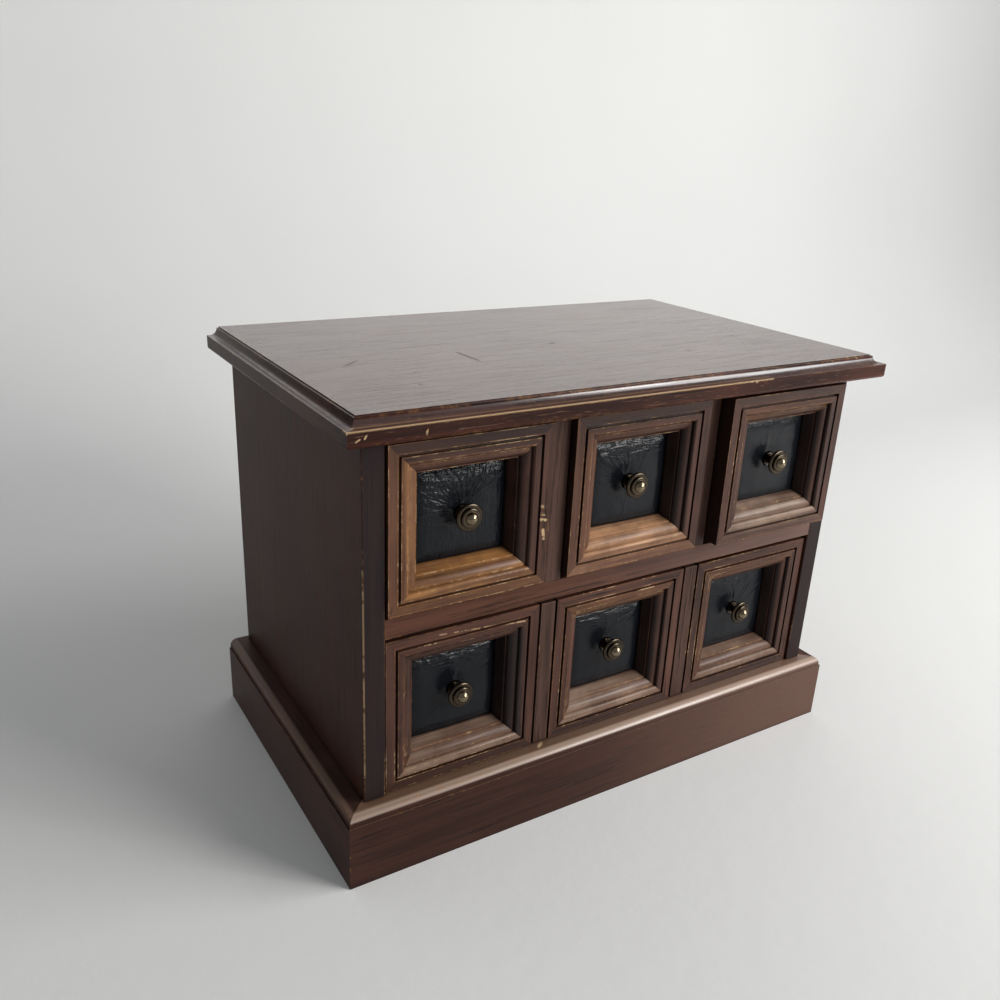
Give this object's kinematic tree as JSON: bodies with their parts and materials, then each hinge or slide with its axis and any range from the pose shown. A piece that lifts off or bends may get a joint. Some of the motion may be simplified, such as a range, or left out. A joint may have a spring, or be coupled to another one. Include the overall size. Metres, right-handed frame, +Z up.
{
  "type": "musical jewellery box",
  "caption": "Musical jewellery box: dark moulded wood chest with small leather-panelled drawers over a wide drawer, brass knobs and a wind-up musical movement inside.",
  "frame": {"origin": "centre of the top board's outline, on the surface the plinth stands on", "axes": "+X to the chest's right as seen from the front, +Y towards the back, +Z up"},
  "size_m": [0.266, 0.1616, 0.1946],
  "materials": {
    "top_wood": "satin dark stain, scratched",
    "case_wood": "satin dark stain, worn edges",
    "plinth_wood": "satin dark stain, worn edges",
    "frame_wood": "satin dark stain, rubbed through to gold",
    "drawer_wood": "bare",
    "plain_wood": "bare, thin stain",
    "leather": "glossy, wrinkled",
    "knob_brass": "antique, dark in the grooves",
    "brass": "bright",
    "steel": "plain",
    "felt": "flock"
  },
  "bodies": {
    "case": {"top_board": "top_wood", "left_side": "case_wood", "right_side": "case_wood", "back_panel": "plain_wood", "floor_board": "plain_wood", "shelf": "case_wood", "left_divider": "case_wood", "right_divider": "case_wood", "plinth_front": "plinth_wood", "plinth_left": "plinth_wood", "plinth_right": "plinth_wood", "plinth_back": "plinth_wood", "glue_blocks": "plain_wood", "back_brads": "steel", "movement_bedplate": "brass", "movement_screws": "steel", "music_comb": "steel", "comb_screws": "steel"},
    "left_drawer": {"left_drawer_frame": "frame_wood", "left_drawer_leather": "leather", "left_drawer_knob": "knob_brass", "left_drawer_knob_screw": "steel", "left_drawer_front_board": "drawer_wood", "left_drawer_walls": "drawer_wood", "left_drawer_bottom": "drawer_wood", "left_drawer_lining": "felt"},
    "middle_drawer": {"middle_drawer_frame": "frame_wood", "middle_drawer_leather": "leather", "middle_drawer_knob": "knob_brass", "middle_drawer_knob_screw": "steel", "middle_drawer_front_board": "drawer_wood", "middle_drawer_walls": "drawer_wood", "middle_drawer_bottom": "drawer_wood", "middle_drawer_lining": "felt"},
    "right_drawer": {"right_drawer_frame": "frame_wood", "right_drawer_leather": "leather", "right_drawer_knob": "knob_brass", "right_drawer_knob_screw": "steel", "right_drawer_front_board": "drawer_wood", "right_drawer_walls": "drawer_wood", "right_drawer_bottom": "drawer_wood", "right_drawer_lining": "felt"},
    "lower_drawer": {"lower_drawer_frames": "frame_wood", "lower_drawer_strips": "case_wood", "lower_drawer_leathers": "leather", "lower_drawer_knobs": "knob_brass", "lower_drawer_knob_screws": "steel", "lower_drawer_front_board": "drawer_wood", "lower_drawer_walls": "drawer_wood", "lower_drawer_bottom": "drawer_wood", "lower_drawer_lining": "felt"},
    "key": {"winding_key": "steel"},
    "barrel": {"spring_barrel": "brass", "crown_wheel": "brass", "mainspring": "steel"},
    "cylinder": {"music_cylinder": "brass"},
    "governor": {"governor_gear": "brass"},
    "fan": {"governor_fan": "steel"},
    "lever": {"stop_lever": "steel"}
  },
  "joints": [
    {"name": "left_drawer_slide", "type": "slide", "parent": "case", "child": "left_drawer", "axis": [0, -1, 0], "range_m": [-0.0022, 0.1078]},
    {"name": "middle_drawer_slide", "type": "slide", "parent": "case", "child": "middle_drawer", "axis": [0, -1, 0], "range_m": [-0.0048, 0.1052]},
    {"name": "right_drawer_slide", "type": "slide", "parent": "case", "child": "right_drawer", "axis": [0, -1, 0], "range_m": [-0.0086, 0.1014]},
    {"name": "lower_drawer_slide", "type": "slide", "parent": "case", "child": "lower_drawer", "axis": [0, -1, 0], "range_m": [0, 0.06]},
    {"name": "key_turn", "type": "hinge", "parent": "case", "child": "key", "pos_m": [-0.0149, 0.04225, 0.02], "axis": [0, 0, 1], "continuous": true},
    {"name": "cylinder_turn", "type": "hinge", "parent": "case", "child": "cylinder", "pos_m": [0, 0.04225, 0.04979], "axis": [1, 0, 0], "continuous": true},
    {"name": "barrel_turn", "type": "hinge", "parent": "case", "child": "barrel", "pos_m": [-0.0149, 0.04225, 0.04], "axis": [0, 0, 1], "continuous": true},
    {"name": "governor_turn", "type": "hinge", "parent": "case", "child": "governor", "pos_m": [0.02, 0.03379, 0.04672], "axis": [1, 0, 0], "continuous": true},
    {"name": "fan_turn", "type": "hinge", "parent": "case", "child": "fan", "pos_m": [0.0225, 0.02924, 0.05], "axis": [0, 0, 1], "continuous": true},
    {"name": "stop_lever_turn", "type": "hinge", "parent": "case", "child": "lever", "pos_m": [0.008, 0.02874, 0.0557], "axis": [0, 0, 1], "range_deg": [0, 12.1]}
  ],
  "couplings": [
    {"joint": "barrel_turn", "follows": "cylinder_turn", "ratio": 0.33333},
    {"joint": "governor_turn", "follows": "cylinder_turn", "ratio": -4},
    {"joint": "fan_turn", "follows": "cylinder_turn", "ratio": -64},
    {"joint": "stop_lever_turn", "follows": "lower_drawer_slide", "rad_per_m": 3.49}
  ]
}
